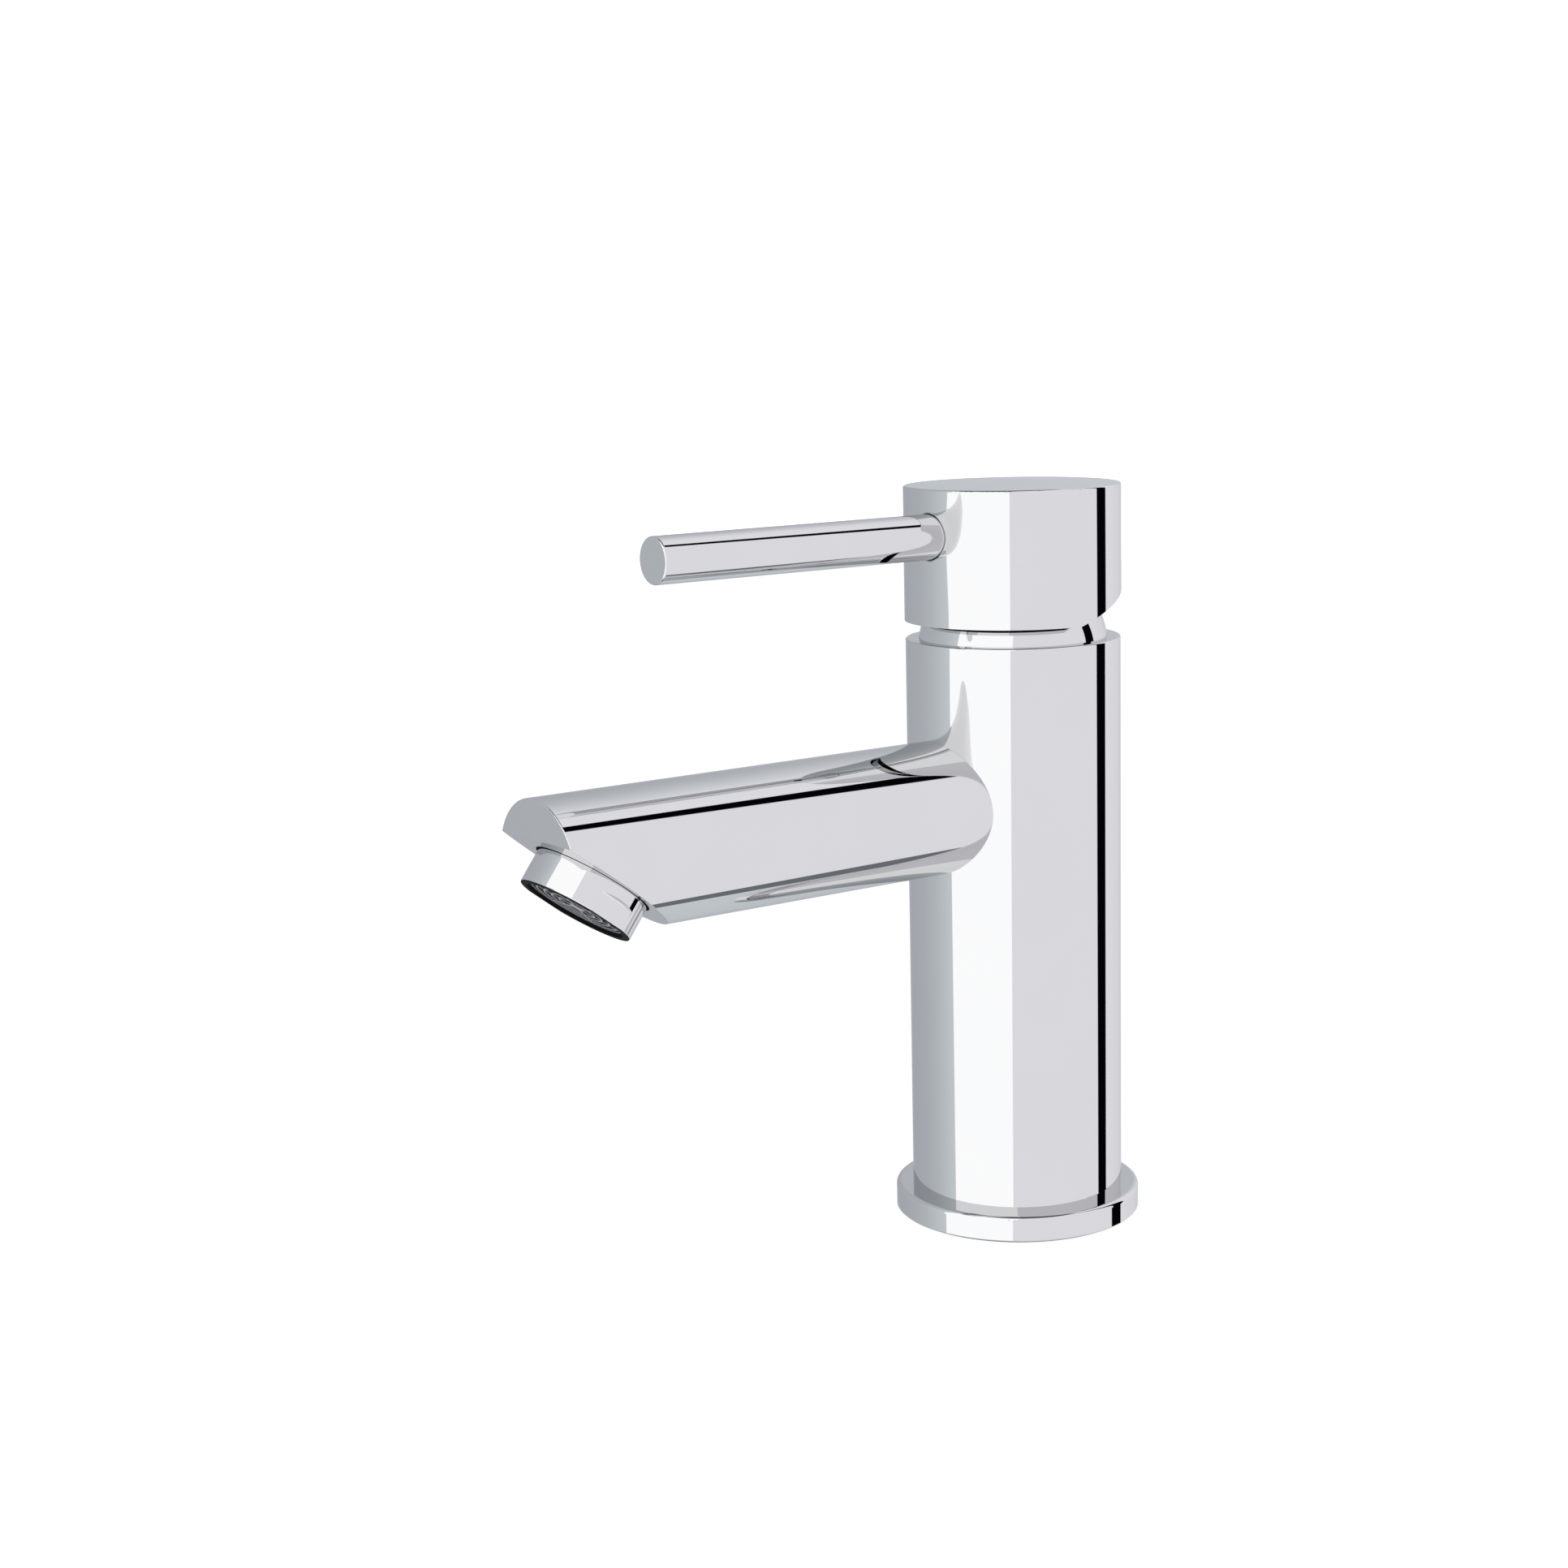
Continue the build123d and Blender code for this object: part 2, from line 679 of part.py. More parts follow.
def make_moving_disc():
    """Ceramic disc with a mixing pocket underneath, which slides over the fixed disc."""
    with BuildPart() as disc:
        with BuildSketch(Plane.XY.offset(moving_disc_z)):
            Circle(moving_disc_r)
        extrude(amount=carrier_z - moving_disc_z)
        # the pocket starts behind the shut inlets
        front = port_y + port_hole_r + pocket_land
        with BuildSketch(Plane.XY.offset(moving_disc_z)):
            Circle(pocket_r)
            with Locations((0, front - pocket_r)):
                Rectangle(2 * pocket_r, 2 * pocket_r, mode=Mode.SUBTRACT)
        extrude(amount=pocket_depth, mode=Mode.SUBTRACT)
    disc.part.label = "moving_disc"
    return disc.part


slot_x, slot_y = 8.8, 2 * foot_r + 0.3
carrier_h, carrier_floor = 4.2, 0.2


def make_disc_carrier():
    """Plastic carrier on the moving disc, with the slot that the spindle's foot pushes."""
    with BuildPart() as carrier:
        with BuildSketch(Plane.XY.offset(carrier_z)):
            Circle(moving_disc_r)
        extrude(amount=carrier_h)
        with BuildSketch(Plane.XY.offset(carrier_z + carrier_floor)):
            Rectangle(slot_x, slot_y)
        extrude(amount=carrier_h, mode=Mode.SUBTRACT)
    carrier.part.label = "disc_carrier"
    return carrier.part


# ---------------------------------------------------------------- handle

stem_half = 3.8
stem_top = 151.5
socket_gap = 0.06
spindle_foot_half = 4.0
arm_y = 4.4
lever_in = 19.5  # the rod's inner end, just inside the cap's wall
lever_gap = 0.05
hex_half, hex_depth = 1.5, 3.0


def make_spindle():
    """Steel lever of the cartridge: foot, arm, pivot block and square stem."""
    with BuildPart() as spindle:
        with BuildSketch(Plane.YZ.offset(-spindle_foot_half)):
            with Locations((0, foot_z)):
                Circle(foot_r)
        extrude(amount=2 * spindle_foot_half)
        with BuildSketch(Plane.YZ.offset(-stem_half)):
            with Locations((0, (foot_z + pivot_z) / 2)):
                Rectangle(arm_y, foot_drop)
            with Locations((0, pivot_z + 0.25)):
                Rectangle(block_y, block_z)
            with Locations((0, (pivot_z + stem_top) / 2)):
                Rectangle(2 * stem_half, stem_top - pivot_z)
        extrude(amount=2 * stem_half)
        with BuildSketch(Plane.YZ.offset(-stem_half)):
            with Locations((0, pivot_z)):
                Circle(pin_r + running)
        extrude(amount=2 * stem_half, mode=Mode.SUBTRACT)
        chamfer(spindle.edges().group_by(Axis.Z)[-1], length=0.5)
    spindle.part.label = "spindle"
    return spindle.part


cap_wall, cap_roof = 1.85, 2.5
boss_r, boss_z = 7.6, 143.5
bridge_r, bridge_in = 6.0, 3.0  # the threaded bridge from the boss to the wall
screw_r = 2.5  # M6, at its root


def make_handle_cap():
    """Cast cap: thin wall, boss with a square socket, and a threaded bridge for the lever."""
    inner_r = cap_r - cap_wall
    roof_z = cap_top - cap_roof
    with BuildPart() as cap:
        with BuildSketch(Plane.XY.offset(cap_bottom)):
            Circle(cap_r)
        extrude(amount=cap_top - cap_bottom)
        # the rise at the back of the underside
        with BuildSketch(Plane.YZ.offset(-cap_d)):
            with BuildLine():
                Polyline(
                    (cap_cut_y, cap_bottom),
                    (cap_d, cap_bottom + (cap_d - cap_cut_y) * tan(radians(cap_cut_deg))),
                    (cap_d, cap_bottom - 5),
                    (cap_cut_y, cap_bottom - 5),
                    close=True,
                )
            make_face()
        extrude(amount=2 * cap_d, mode=Mode.SUBTRACT)
        fillet(cap.edges().filter_by(GeomType.CIRCLE).sort_by(Axis.Z)[-1], radius=0.45)
        with BuildSketch(Plane.XY.offset(cap_bottom - 5)):
            Circle(inner_r)
        extrude(amount=roof_z - cap_bottom + 5, mode=Mode.SUBTRACT)
        with BuildSketch(Plane.XY.offset(boss_z)):
            Circle(boss_r)
        extrude(amount=roof_z - boss_z + 0.5)
        with BuildSketch(lever_plane.offset(boss_r - bridge_in)):
            Circle(bridge_r)
        extrude(amount=inner_r - boss_r + bridge_in)
        with BuildSketch(Plane.XY.offset(boss_z - bridge_r)):
            Rectangle(*[2 * (stem_half + socket_gap)] * 2)
        extrude(amount=stem_top + 0.5 - boss_z + bridge_r, mode=Mode.SUBTRACT)
        with BuildSketch(lever_plane):
            Circle(screw_r)
        extrude(amount=cap_d, mode=Mode.SUBTRACT)
        with BuildSketch(lever_plane.offset(lever_in)):
            Circle(lever_r + lever_gap)
        extrude(amount=cap_d, mode=Mode.SUBTRACT)
        # fine rounding of the lever hole's outer edge
        mouth = cap.edges().filter_by_position(Axis.Y, -cap_r, -cap_r + cap_wall / 2)
        mouth = mouth.filter_by_position(Axis.Z, lever_z - lever_r, lever_z + lever_r)
        fillet(mouth, radius=0.35)
    cap.part.label = "handle_cap"
    return cap.part


stud_reach = 12.0  # depth of the rod's thread
stud_from, stud_to = 12.4, 30.5
grub_from, grub_to = stem_half + 0.08, 12.2


def make_lever_rod():
    """Plain round rod, threaded at its inner end."""
    with BuildPart() as rod:
        with BuildSketch(lever_plane.offset(lever_in)):
            Circle(lever_r)
        extrude(amount=lever_end - lever_in)
        fillet(rod.edges().filter_by(GeomType.CIRCLE).sort_by(Axis.Y)[0], radius=0.4)
        with BuildSketch(lever_plane.offset(lever_in)):
            Circle(screw_r)
        extrude(amount=stud_reach, mode=Mode.SUBTRACT)
    rod.part.label = "lever_rod"
    return rod.part


def make_screw(name, start, end):
    """Headless M6 screw on the lever's axis, with a hexagon socket in its outer end."""
    with BuildPart() as screw:
        with BuildSketch(lever_plane.offset(start)):
            Circle(screw_r - 0.05)
        extrude(amount=end - start)
        chamfer(screw.edges().filter_by(GeomType.CIRCLE), length=0.3)
        with BuildSketch(lever_plane.offset(end)):
            RegularPolygon(radius=hex_half, side_count=6, major_radius=False)
        extrude(amount=-hex_depth, mode=Mode.SUBTRACT)
    screw.part.label = name
    return screw.part


pieces = [
    make_base_seal(),
    make_base_ring(),
    make_column(),
    make_spout(),
    make_aerator_housing(),
    make_aerator_washer(),
    make_aerator_sieve(),
    make_aerator_jet_plate(),
    make_aerator_screens(),
    make_aerator_grid(),
    make_aerator_sleeve(),
    make_port_seals(),
    make_cartridge_base(),
    make_disc_seals(),
    make_fixed_disc(),
    make_cartridge_housing(),
    make_retaining_nut(),
    make_dome_ring(),
    make_dome_cover(),
    make_swivel_collar(),
    make_collar_seal(),
    make_pivot_pin(),
    make_moving_disc(),
    make_disc_carrier(),
    make_spindle(),
    make_handle_cap(),
    make_lever_rod(),
    make_screw("lever_stud", stud_from, stud_to),
    make_screw("cap_grub_screw", grub_from, grub_to),
]

os.makedirs("parts", exist_ok=True)
for piece in pieces:
    export_step(piece, f"parts/{piece.label}.step")
print(len(pieces), "pieces")
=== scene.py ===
# %% [markdown]
# # A single-lever basin mixer in polished chrome
# The tap is a turned brass column with a brazed spout, a ball-shaped cover and a round cap with a
# pin lever, all chrome plated. Its CAD pieces already have the right shape and place, so this file
# adds what CAD doesn't hold: the studio around the tap, the finishes, and the fine pieces such as
# threads and woven screens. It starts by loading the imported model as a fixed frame.

# %% Load the frame
import math

import bmesh
import bpy
from mathutils import Matrix, Vector


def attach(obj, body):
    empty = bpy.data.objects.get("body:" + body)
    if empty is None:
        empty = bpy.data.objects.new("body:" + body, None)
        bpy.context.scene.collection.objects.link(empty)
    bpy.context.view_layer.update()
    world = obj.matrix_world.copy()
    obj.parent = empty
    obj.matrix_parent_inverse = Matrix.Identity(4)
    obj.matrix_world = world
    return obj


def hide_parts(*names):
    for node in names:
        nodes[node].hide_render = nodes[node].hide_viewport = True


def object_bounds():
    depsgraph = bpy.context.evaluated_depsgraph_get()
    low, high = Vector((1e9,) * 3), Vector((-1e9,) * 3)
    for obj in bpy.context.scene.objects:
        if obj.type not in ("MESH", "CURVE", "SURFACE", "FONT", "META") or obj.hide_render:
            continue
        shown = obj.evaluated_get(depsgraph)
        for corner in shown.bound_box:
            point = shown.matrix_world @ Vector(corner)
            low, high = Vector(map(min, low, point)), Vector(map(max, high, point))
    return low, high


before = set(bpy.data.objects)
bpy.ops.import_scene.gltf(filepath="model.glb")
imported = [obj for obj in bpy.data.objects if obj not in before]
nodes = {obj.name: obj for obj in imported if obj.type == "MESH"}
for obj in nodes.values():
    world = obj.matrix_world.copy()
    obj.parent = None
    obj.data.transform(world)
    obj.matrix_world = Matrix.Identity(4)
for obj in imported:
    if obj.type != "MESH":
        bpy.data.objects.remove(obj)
cad_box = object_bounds()
mm = 0.001

# %% [markdown]
# ## The camera
# A tap like this is catalogued from a low three-quarter view, with a lens longer than normal so
# that the column doesn't flare. The camera could be aimed with a Track To constraint, but a
# hand-held camera also has a little yaw and roll. So its three directions are worked out from
# where it stands and how it is turned, and go straight into its matrix.

# %% Camera
camera_turn = math.radians(49.25)  # round the column, from the spout's side towards +X
camera_distance = 0.5569           # from the column's axis, level
camera_height = 0.1919
yaw, pitch, roll = math.radians(-5.02), math.radians(10.015), math.radians(-1.32)

turn = Matrix.Rotation(camera_turn, 3, "Z")
stand = turn @ Vector((0, -camera_distance, camera_height))
ahead = turn @ Vector((math.sin(yaw) * math.cos(pitch), math.cos(yaw) * math.cos(pitch), -math.sin(pitch)))
level_right = turn @ Vector((math.cos(yaw), -math.sin(yaw), 0))
level_up = level_right.cross(ahead)
right = math.cos(roll) * level_right + math.sin(roll) * level_up
up = right.cross(ahead)

lens = bpy.data.cameras.new("product_camera")
lens.sensor_width = 36
lens.lens = 61.02
lens.clip_start = 0.01
camera = bpy.data.objects.new("product_camera", lens)
camera.matrix_world = Matrix.Translation(stand) @ Matrix((right, up, -ahead)).transposed().to_4x4()
bpy.context.scene.collection.objects.link(camera)
bpy.context.scene.camera = camera
print("camera at", [round(x, 3) for x in stand], "looking", [round(x, 3) for x in ahead])

# %% [markdown]
# ## Shader maths as plain expressions
# Every finish below is a small network of nodes. Wired up one by one they are hard to read, so
# one class wraps an output socket and turns `+`, `-`, `*` and `/` into Math nodes. All other
# nodes come from one method of the second class, which takes the node's type, its settings and
# what goes into its sockets.

# %% Sockets that calculate
class Wire:
    """An output socket that adds a Math node for each operation on it."""

    def __init__(self, net, socket):
        self.net = net
        self.socket = socket

    def math(self, operation, *inputs):
        return self.net.node("ShaderNodeMath", {"operation": operation}, dict(enumerate(inputs)))

    def __add__(self, other):
        return self.math("ADD", self, other)

    def __sub__(self, other):
        return self.math("SUBTRACT", self, other)

    def __rsub__(self, other):
        return self.math("SUBTRACT", other, self)

    def __mul__(self, other):
        return self.math("MULTIPLY", self, other)

    def __truediv__(self, other):
        return self.math("DIVIDE", self, other)

    def __abs__(self):
        return self.math("ABSOLUTE", self)

    __radd__ = __add__
    __rmul__ = __mul__

    def above(self, edge, softness):
        """0 below the edge and 1 above it, with a smooth step as wide as the softness."""
        half = softness / 2
        return self.net.node(
            "ShaderNodeMapRange",
            {"interpolation_type": "SMOOTHSTEP"},
            {"Value": self - edge, "From Min": -half, "From Max": half},
        )

    def below(self, edge, softness):
        """1 below the edge and 0 above it, with the same smooth step."""
        return (edge - self).above(0, softness)

    def larger(self, other):
        return self.math("MAXIMUM", self, other)


class Net:
    """The node network of one material or of the world."""

    def __init__(self, owner):
        owner.use_nodes = True
        self.tree = owner.node_tree
        self.tree.nodes.clear()

    def node(self, kind, settings, sockets, output=0):
        """One node: its type, its settings, its sockets' values or links, and the output wanted."""
        made = self.tree.nodes.new(kind)
        for name, value in settings.items():
            if name == "stops":
                while len(made.color_ramp.elements) < len(value):
                    made.color_ramp.elements.new(0.5)
                for stop, (place, colour) in zip(made.color_ramp.elements, value):
                    stop.position = place
                    stop.color = (*colour, 1)
            else:
                setattr(made, name, value)
        for name, value in sockets.items():
            if isinstance(value, Wire):
                self.tree.links.new(value.socket, made.inputs[name])
            else:
                made.inputs[name].default_value = value
        return Wire(self, made.outputs[output]) if made.outputs else None

    def mix(self, share, first, second):
        """A blend of two colours: share 0 gives the first and 1 the second."""
        colours = {0: share, 6: colour4(first), 7: colour4(second)}
        return self.node("ShaderNodeMix", {"data_type": "RGBA"}, colours, 2)

    def vector(self, operation, *inputs, output=0):
        """One Vector Math node."""
        settings = {"operation": operation}
        return self.node("ShaderNodeVectorMath", settings, dict(enumerate(inputs)), output)

    def place(self):
        """The point in the object's own metres, which never depends on the camera."""
        return self.node("ShaderNodeTexCoord", {}, {}, "Object")

    def noise(self, size, detail=3.0, roughness=0.5, stretch=(1, 1, 1)):
        """Cloudy noise from 0 to 1 whose blobs are about that size in metres."""
        scaled = self.node("ShaderNodeMapping", {}, {"Vector": self.place(), "Scale": stretch})
        sockets = {"Vector": scaled, "Scale": 1 / size, "Detail": detail, "Roughness": roughness}
        return self.node("ShaderNodeTexNoise", {}, sockets)

    def axis(self, origin, direction):
        """How far a point lies along an axis and how far off it, in metres."""
        away = self.vector("SUBTRACT", self.place(), origin)
        along = self.vector("DOT_PRODUCT", away, direction, output="Value")
        off = self.vector("DOT_PRODUCT", away, away, output="Value") - along * along
        return along, off.math("SQRT", off)

    def bump(self, height, depth):
        """A surface normal from a height of 0 to 1 that stands for so many metres."""
        return self.node("ShaderNodeBump", {}, {"Height": height, "Distance": depth})

    def finish(self, kind, output_kind, sockets):
        """The shader itself and the output node."""
        shader = self.node(kind, {}, sockets)
        self.node(output_kind, {}, {"Surface": shader})


def colour4(colour):
    """A colour with its alpha, or a wire left as it is."""
    return colour if isinstance(colour, Wire) else (*colour, 1)


print("the shader helpers are ready")

# %% [markdown]
# ## The studio
# Chrome has no colour of its own: it looks like what stands round it. A studio lights it with
# large soft panels and sets one narrow black flag between them, which draws the dark line that
# makes a cylinder look round. The panels could be emitting planes, but planes at a finite
# distance shift between the spout and the column, and block other cameras. So the studio is
# painted on the world, by heading (degrees round the tap, 0 towards the camera, positive to its
# right) and height above the horizon. The camera itself sees only a white sweep.

# %% Studio
world = bpy.data.worlds.new("studio")
bpy.context.scene.world = world
studio = Net(world)

degree = math.pi / 180
to_camera = math.atan2(stand.y, stand.x)
direction = studio.node("ShaderNodeTexCoord", {}, {}, "Generated")
turned = studio.node(
    "ShaderNodeVectorRotate", {"rotation_type": "Z_AXIS"}, {"Vector": direction, "Angle": -to_camera}
)
along, across, rise = [studio.node("ShaderNodeSeparateXYZ", {}, {"Vector": turned}, axis) for axis in "XYZ"]
heading = across.math("ARCTAN2", across, along) / degree
height = rise.math("ARCSINE", rise) / degree

# Each stop is a heading and the brightness that chrome shows there, from the wall behind the
# tap's left round past the camera to the wall on its right.
level_light = [
    (-180, (0.455, 0.478, 0.503)), (-168, (0.383, 0.400, 0.425)), (-115, (0.385, 0.405, 0.432)),
    (-95, (0.420, 0.448, 0.470)), (-71, (0.515, 0.547, 0.565)), (-60, (0.684, 0.680, 0.716)),
    (105, (0.682, 0.678, 0.714)), (110, (0.708, 0.704, 0.732)), (148, (0.690, 0.686, 0.716)),
    (160, (0.610, 0.615, 0.645)), (180, (0.455, 0.478, 0.503)),
]
stops = [((at + 180) / 360, colour) for at, colour in level_light]
light = studio.node("ShaderNodeValToRGB", {"stops": stops}, {"Fac": (heading + 180) / 360})

# The white panel leans, so its right edge lies further right the higher it is.
panel_left, panel_right, panel_lean = -71, -1.75, 0.118
panel_white, panel_edge = (0.955, 0.955, 0.960), 0.8
right_edge = panel_right + panel_lean * height
on_panel = heading.above(panel_left, panel_edge) * heading.below(right_edge, panel_edge)
light = studio.mix(on_panel, light, panel_white)

side_panel_from = 112
floor_side = (0.520, 0.552, 0.578)
low = height.below(-37, 16)
light = studio.mix(low * heading.above(side_panel_from, 4), light, floor_side)

flag_middle, flag_half = 107.5, 8.0
black, flag_foot = (0.001, 0.001, 0.002), (0.130, 0.140, 0.155)
flag_colour = studio.mix(height.below(-42, 10), black, flag_foot)
flag_side = abs(heading - (flag_middle - 0.05 * height))
flag_edge = flag_half - 0.035 * abs(height)
light = studio.mix(flag_side.below(flag_edge, 1.2), light, flag_colour)

ceiling = (0.085, 0.088, 0.095)  # unlit, above the panels
light = studio.mix(height.above(63, 6), light, ceiling)

camera_ray = studio.node("ShaderNodeLightPath", {}, {}, "Is Camera Ray")
seen = studio.mix(camera_ray, light, (1, 1, 1))
chrome_shine = 0.68  # the share of the light that chrome gives back
strength = 1 / chrome_shine
studio.finish("ShaderNodeBackground", "ShaderNodeOutputWorld", {"Color": seen, "Strength": strength})
bpy.context.scene.view_settings.view_transform = "Standard"
print("studio:", len(stops), "stops round the tap, a flag", 2 * flag_half, "degrees wide")

# %% [markdown]
# ## The floor
# The tap stands on a plain pale sweep. A plane would do, but its far edge would draw a horizon,
# so it is a round sheet whose colour runs out into the white of the sweep. It takes the tap's
# soft contact shadow, and it is left out of mirror reflections, as a sweep on a light table is.

# %% Floor
floor_radius = 1.5
rings, sectors = 24, 96
sweep = bmesh.new()
circles = []
for ring in range(1, rings + 1):
    radius = floor_radius * (ring / rings) ** 2
    angles = [2 * math.pi * k / sectors for k in range(sectors)]
    circles.append([sweep.verts.new((radius * math.cos(a), radius * math.sin(a), 0)) for a in angles])
sweep.faces.new(circles[0])
for inner, outer in zip(circles, circles[1:]):
    for k in range(sectors):
        sweep.faces.new((inner[k], outer[k], outer[(k + 1) % sectors], inner[(k + 1) % sectors]))
floor_mesh = bpy.data.meshes.new("floor")
sweep.to_mesh(floor_mesh)
sweep.free()
floor = bpy.data.objects.new("floor", floor_mesh)
floor.location.z = cad_box[0][2] - 0.02 * mm
floor.visible_glossy = False
bpy.context.scene.collection.objects.link(floor)

shadow_share = 0.14  # how much of the colour near the tap is matt paper that takes a shadow
fade_at, fade_width = 0.14, 0.2
glow_strength = 1.06
white = (1, 1, 1, 1)

paper = bpy.data.materials.new("pale_floor")
net = Net(paper)
distance = net.vector("LENGTH", net.place(), output="Value")
share = 1 - shadow_share + shadow_share * distance.above(fade_at, fade_width)
matte = net.node("ShaderNodeBsdfDiffuse", {}, {"Color": white})
glow = net.node("ShaderNodeEmission", {}, {"Color": white, "Strength": glow_strength})
blend = net.node("ShaderNodeMixShader", {}, {0: share, 1: matte, 2: glow})
net.node("ShaderNodeOutputMaterial", {}, {"Surface": blend})
floor_mesh.materials.append(paper)
print("floor", 2 * floor_radius, "m across")

# %% [markdown]
# ## Polished chrome
# Chrome plate is a mirror a few tenths of a micron thick over polished brass. It could be a
# plain metal with no roughness, but the real surface has faint polishing marks and a barely
# uneven shine where it has been wiped. Both go in as noise in the roughness and in a bump a
# micron deep, which bends the reflections just enough to look made. The plating hardly reaches
# inside a bore, so each piece also says which part of it is dull bare metal. That metal's colour
# is far darker than bare brass, which is painted shade standing in for the dark inside the bores.
# That could be a second material painted on the inner faces, but a mask by place needs no change
# to the mesh.

# %% Chrome
def chrome_finish(name, bore):
    """Chrome, with dull bare metal painted dark as shade wherever bore(net) is 1."""
    chrome = bpy.data.materials.new("polished_chrome_" + name)
    net = Net(chrome)
    wiped = net.noise(0.018, 3)
    marks = net.noise(0.0012, 4, 0.6, (1, 1, 0.08))
    tone = net.mix(wiped, (0.670, 0.672, 0.678), (0.690, 0.690, 0.692))
    shine = 0.012 + 0.012 * wiped + 0.008 * marks
    if bore:
        inside = bore(net)
        # Painted shade: the bare brass inside a bore is made far darker than brass, to stand for the shade
        # there.
        shaded_bore_brass = net.mix(net.noise(0.004, 4), (0.10, 0.085, 0.06), (0.20, 0.17, 0.12))
        cast = 0.42 + 0.2 * net.noise(0.0009, 5)
        tone = net.mix(inside, tone, shaded_bore_brass)
        shine = shine + inside * (cast - shine)
    net.finish("ShaderNodeBsdfPrincipled", "ShaderNodeOutputMaterial", {
        "Base Color": tone,
        "Metallic": 1.0,
        "Roughness": shine,
        "Specular Tint": (0.82, 0.82, 0.83, 1),
        "Normal": net.bump(net.noise(0.012, 1), 0.001 * mm),
    })
    return chrome


print("the chrome is ready")

# %% [markdown]
# ## Where the plating ends
# The column, the cap and the ball cover are plated outside, and their bores are dull metal with
# painted shade. In the spout that is the waterway, and the seat and chamber that the aerator
# screws into. On the aerator's collar it is the bore and the threaded neck. Each is told by how
# far a point lies along an axis and how far off it, and the ball cover's by how far it is from
# the ball's centre. Each limit lies in the metal between a dull surface and a plated one, so that
# neither gets speckles.

# %% Bores
column_axis = ((0, 0, 0), (0, 0, 1))
spout_axis = ((0, 0, 90.45 * mm), (0, -1, 0))
lever_height = 146.6 * mm
cut_slope = math.radians(36.8)
aerator_centre = (0, -105.23 * mm, 87.375 * mm)  # where its axis meets the slanted cut
aerator_axis = (0, -math.sin(cut_slope), -math.cos(cut_slope))  # out of the spout
blur = 0.02 * mm


def column_bore(net):
    off = net.axis(*column_axis)[1]
    return off.below(19.25 * mm, blur)


def cap_bore(net):
    height, off = net.axis(*column_axis)
    return off.below(20.85 * mm, blur) * height.below(155 * mm, blur)


def dome_bore(net):
    ball_centre = (0, 0, 121.5 * mm)
    reach = net.vector("DISTANCE", net.place(), ball_centre, output="Value")
    return reach.below(19.8 * mm, blur)


def spout_bore(net):
    depth, off = net.axis(aerator_centre, aerator_axis)
    inward = depth.below(-0.06 * mm, blur)
    seat = off.below(12.3 * mm, blur) * inward * depth.above(-0.9 * mm, blur)
    chamber = off.below(11.5 * mm, blur) * inward * depth.above(-9.1 * mm, blur)
    along, off = net.axis(*spout_axis)
    waterway = off.below(9.6 * mm, blur) * along.below(97.1 * mm, blur)
    return seat.larger(chamber).larger(waterway)


def collar_bore(net):
    depth, off = net.axis(aerator_centre, aerator_axis)
    bore = off.below(10.44 * mm, blur) * depth.below(6.2 * mm, blur)
    neck = depth.below(-0.75 * mm, blur)
    return bore.larger(neck)


bores = {
    "column": column_bore, "handle_cap": cap_bore, "dome_cover": dome_bore,
    "spout": spout_bore, "aerator_housing": collar_bore,
}
plated = [name for name, node in nodes.items() if node.material_slots[0].name == "chrome"]
for name in plated:
    nodes[name].data.materials[0] = chrome_finish(name, bores.get(name))
print("chrome is plated on", plated)

# %% [markdown]
# ## Moulded plastic and rubber
# The cartridge is acetal with a slight sheen, its collar is a darker moulding with a coarser
# grain, the aerator's insides are plain moulded plastic, and the seals are nitrile rubber. Each
# could be one colour and one roughness. A real moulding has cloudy tone where the melt flowed,
# a fine grain from the tool and a shine that varies with it, and those three are all noise of
# different sizes, so one recipe makes them all.

# %% Mouldings
def moulded(name, light, dark, shine, grain, grain_depth, gloss=0.5, painted_glint=None):
    """A moulding between two tones, with its roughness and the size and depth of its grain.

    The last argument, if given, is a function of the net that gives 1 where a paler glint is painted on.
    """
    material = bpy.data.materials.new(name)
    net = Net(material)
    flow = net.noise(0.006, 4, 0.55, (1, 1, 0.4))
    tooth = net.noise(grain, 3, 0.6)
    tone = net.mix(flow, light, dark)
    if painted_glint:
        # A painted glint: paler grey wherever the glint mask is 1.
        tone = net.mix(painted_glint(net), tone, (0.25, 0.26, 0.28))
    net.finish("ShaderNodeBsdfPrincipled", "ShaderNodeOutputMaterial", {
        "Base Color": tone,
        "Roughness": shine + 0.12 * (tooth - 0.5) + 0.06 * flow,
        "Specular IOR Level": gloss,
        "Normal": net.bump(tooth, grain_depth),
    })
    return material


finishes = {
    "white_plastic": moulded(
        "acetal", (0.86, 0.86, 0.83), (0.80, 0.80, 0.77), 0.32, 0.25 * mm, 0.004 * mm
    ),
    "grey_plastic": moulded(
        "grey_moulding", (0.44, 0.46, 0.48), (0.37, 0.39, 0.41), 0.42, 0.3 * mm, 0.005 * mm
    ),
    "dark_plastic": moulded(
        "dark_moulding", (0.15, 0.16, 0.18), (0.10, 0.11, 0.125), 0.30, 0.4 * mm, 0.002 * mm
    ),
    "rubber": moulded(
        "nitrile_rubber", (0.035, 0.035, 0.037), (0.020, 0.020, 0.021), 0.55, 0.2 * mm, 0.006 * mm
    ),
}
print("mouldings:", sorted(finishes))

# %% [markdown]
# ## Bare brass, steel and ceramic
# The retaining nut is turned from brass bar, so the tool leaves fine rings round it. The
# screws, pin and spindle are drawn stainless with a satin surface. The discs are alumina,
# lapped until they seal without a gasket. The rings could be modelled, but they are hundredths of
# a millimetre high: noise squeezed flat across the axis draws them as bump and as streaks.

